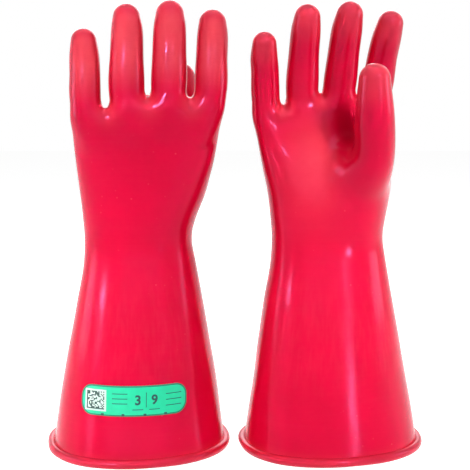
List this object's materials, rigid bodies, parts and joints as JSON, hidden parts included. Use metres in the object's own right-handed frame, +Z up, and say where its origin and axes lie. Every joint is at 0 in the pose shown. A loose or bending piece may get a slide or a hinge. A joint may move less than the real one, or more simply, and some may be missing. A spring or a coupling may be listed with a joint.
{
  "type": "pair of insulating rubber gloves",
  "caption": "Pair of long red rubber insulating gloves with flared gauntlets, rolled cuff beads and a green pill label; wrist, fingers and thumb bend.",
  "frame": {"origin": "on the floor under the middle of the pair", "axes": "+Z up along the fingers, +X from the left glove to the right glove, -Y the side that shows the left glove's back and the right glove's palm"},
  "size_m": [0.3099, 0.1384, 0.3606],
  "materials": {
    "red_rubber": "satin",
    "green_label": "satin"
  },
  "bodies": {
    "left_gauntlet": {"left_gauntlet": "red_rubber", "left_cuff_bead": "red_rubber", "left_label": "green_label"},
    "left_palm": {"left_palm": "red_rubber"},
    "left_little_base": {"left_little_base": "red_rubber"},
    "left_little_tip": {"left_little_tip": "red_rubber"},
    "left_ring_base": {"left_ring_base": "red_rubber"},
    "left_ring_tip": {"left_ring_tip": "red_rubber"},
    "left_middle_base": {"left_middle_base": "red_rubber"},
    "left_middle_tip": {"left_middle_tip": "red_rubber"},
    "left_index_base": {"left_index_base": "red_rubber"},
    "left_index_tip": {"left_index_tip": "red_rubber"},
    "left_thumb_base": {"left_thumb_base": "red_rubber"},
    "left_thumb_tip": {"left_thumb_tip": "red_rubber"},
    "right_gauntlet": {"right_gauntlet": "red_rubber", "right_cuff_bead": "red_rubber", "right_label": "green_label"},
    "right_palm": {"right_palm": "red_rubber"},
    "right_little_base": {"right_little_base": "red_rubber"},
    "right_little_tip": {"right_little_tip": "red_rubber"},
    "right_ring_base": {"right_ring_base": "red_rubber"},
    "right_ring_tip": {"right_ring_tip": "red_rubber"},
    "right_middle_base": {"right_middle_base": "red_rubber"},
    "right_middle_tip": {"right_middle_tip": "red_rubber"},
    "right_index_base": {"right_index_base": "red_rubber"},
    "right_index_tip": {"right_index_tip": "red_rubber"},
    "right_thumb_base": {"right_thumb_base": "red_rubber"},
    "right_thumb_tip": {"right_thumb_tip": "red_rubber"}
  },
  "joints": [
    {"name": "left_wrist", "type": "hinge", "parent": "left_gauntlet", "child": "left_palm", "pos_m": [-0.07887, -0.0033, 0.172], "axis": [-0.9945, -0.1045, 0], "range_deg": [-20, 20], "stiffness_Nm_per_rad": 2},
    {"name": "left_little_knuckle", "type": "hinge", "parent": "left_palm", "child": "left_little_base", "pos_m": [-0.11649, -0.02133, 0.28], "axis": [-0.9944, -0.1045, -0.0175], "range_deg": [-5, 35], "stiffness_Nm_per_rad": 0.1},
    {"name": "left_little_bend", "type": "hinge", "parent": "left_little_base", "child": "left_little_tip", "pos_m": [-0.11732, -0.01749, 0.30467], "axis": [-0.9944, -0.1045, -0.0175], "range_deg": [-5, 35]},
    {"name": "left_ring_knuckle", "type": "hinge", "parent": "left_palm", "child": "left_ring_base", "pos_m": [-0.08407, -0.01792, 0.28825], "axis": [-0.9945, -0.1045, 0.0052], "range_deg": [-5, 35], "stiffness_Nm_per_rad": 0.1},
    {"name": "left_ring_bend", "type": "hinge", "parent": "left_ring_base", "child": "left_ring_tip", "pos_m": [-0.0844, -0.01324, 0.31792], "axis": [-0.9945, -0.1045, 0.0052], "range_deg": [-5, 35]},
    {"name": "left_middle_knuckle", "type": "hinge", "parent": "left_palm", "child": "left_middle_base", "pos_m": [-0.05165, -0.01452, 0.291], "axis": [-0.9941, -0.1045, 0.0279], "range_deg": [-5, 35], "stiffness_Nm_per_rad": 0.1},
    {"name": "left_middle_bend", "type": "hinge", "parent": "left_middle_base", "child": "left_middle_tip", "pos_m": [-0.05131, -0.00976, 0.32065], "axis": [-0.9941, -0.1045, 0.0279], "range_deg": [-5, 35]},
    {"name": "left_index_knuckle", "type": "hinge", "parent": "left_palm", "child": "left_index_base", "pos_m": [-0.01922, -0.01111, 0.28825], "axis": [-0.9932, -0.1044, 0.0506], "range_deg": [-5, 35], "stiffness_Nm_per_rad": 0.1},
    {"name": "left_index_bend", "type": "hinge", "parent": "left_index_base", "child": "left_index_tip", "pos_m": [-0.01829, -0.0066, 0.31588], "axis": [-0.9932, -0.1044, 0.0506], "range_deg": [-5, 35]},
    {"name": "left_thumb_spread", "type": "hinge", "parent": "left_palm", "child": "left_thumb_base", "pos_m": [-0.04047, 0.03895, 0.24], "axis": [-0.0742, 0.9245, -0.3739], "range_deg": [-10, 40], "stiffness_Nm_per_rad": 0.2},
    {"name": "left_thumb_bend", "type": "hinge", "parent": "left_thumb_base", "child": "left_thumb_tip", "pos_m": [-0.04362, 0.05104, 0.27054], "axis": [0.9927, 0.1043, 0.061], "range_deg": [-5, 35], "stiffness_Nm_per_rad": 0.1},
    {"name": "right_wrist", "type": "hinge", "parent": "right_gauntlet", "child": "right_palm", "pos_m": [0.07412, -0.0033, 0.172], "axis": [0.9945, 0.1045, 0], "range_deg": [-20, 20], "stiffness_Nm_per_rad": 2},
    {"name": "right_little_knuckle", "type": "hinge", "parent": "right_palm", "child": "right_little_base", "pos_m": [0.02238, 0.00534, 0.28], "axis": [0.9944, 0.1045, 0.0175], "range_deg": [-5, 35], "stiffness_Nm_per_rad": 0.1},
    {"name": "right_little_bend", "type": "hinge", "parent": "right_little_base", "child": "right_little_tip", "pos_m": [0.02236, 0.00141, 0.30467], "axis": [0.9944, 0.1045, 0.0175], "range_deg": [-5, 35]},
    {"name": "right_ring_knuckle", "type": "hinge", "parent": "right_palm", "child": "right_ring_base", "pos_m": [0.05252, 0.00851, 0.28825], "axis": [0.9938, 0.1045, -0.0384], "range_deg": [-5, 35], "stiffness_Nm_per_rad": 0.1},
    {"name": "right_ring_bend", "type": "hinge", "parent": "right_ring_base", "child": "right_ring_tip", "pos_m": [0.05414, 0.00395, 0.31789], "axis": [0.9938, 0.1045, -0.0384], "range_deg": [-5, 35]},
    {"name": "right_middle_knuckle", "type": "hinge", "parent": "right_palm", "child": "right_middle_base", "pos_m": [0.08265, 0.01167, 0.291], "axis": [0.9901, 0.1041, -0.0941], "range_deg": [-5, 35], "stiffness_Nm_per_rad": 0.1},
    {"name": "right_middle_bend", "type": "hinge", "parent": "right_middle_base", "child": "right_middle_tip", "pos_m": [0.08592, 0.00729, 0.32053], "axis": [0.9901, 0.1041, -0.0941], "range_deg": [-5, 35]},
    {"name": "right_index_knuckle", "type": "hinge", "parent": "right_palm", "child": "right_index_base", "pos_m": [0.11279, 0.01484, 0.28825], "axis": [0.9833, 0.1034, -0.1495], "range_deg": [-5, 35], "stiffness_Nm_per_rad": 0.1},
    {"name": "right_index_bend", "type": "hinge", "parent": "right_index_base", "child": "right_index_tip", "pos_m": [0.11736, 0.01091, 0.31561], "axis": [0.9833, 0.1034, -0.1495], "range_deg": [-5, 35]},
    {"name": "right_thumb_spread", "type": "hinge", "parent": "right_palm", "child": "right_thumb_base", "pos_m": [0.10584, -0.03818, 0.24], "axis": [-0.1197, 0.9197, 0.3739], "range_deg": [-10, 40], "stiffness_Nm_per_rad": 0.2},
    {"name": "right_thumb_bend", "type": "hinge", "parent": "right_thumb_base", "child": "right_thumb_tip", "pos_m": [0.10527, -0.05067, 0.27054], "axis": [-0.9927, -0.1043, -0.061], "range_deg": [-5, 35], "stiffness_Nm_per_rad": 0.1},
    {"name": "right_glove_apart", "type": "slide", "parent": "left_gauntlet", "child": "right_gauntlet", "axis": [1, 0, 0], "range_m": [0, 0.15]}
  ],
  "couplings": [
    {"joint": "left_little_bend", "follows": "left_little_knuckle", "ratio": 1},
    {"joint": "left_ring_bend", "follows": "left_ring_knuckle", "ratio": 1},
    {"joint": "left_middle_bend", "follows": "left_middle_knuckle", "ratio": 1},
    {"joint": "left_index_bend", "follows": "left_index_knuckle", "ratio": 1},
    {"joint": "right_little_bend", "follows": "right_little_knuckle", "ratio": 1},
    {"joint": "right_ring_bend", "follows": "right_ring_knuckle", "ratio": 1},
    {"joint": "right_middle_bend", "follows": "right_middle_knuckle", "ratio": 1},
    {"joint": "right_index_bend", "follows": "right_index_knuckle", "ratio": 1}
  ]
}
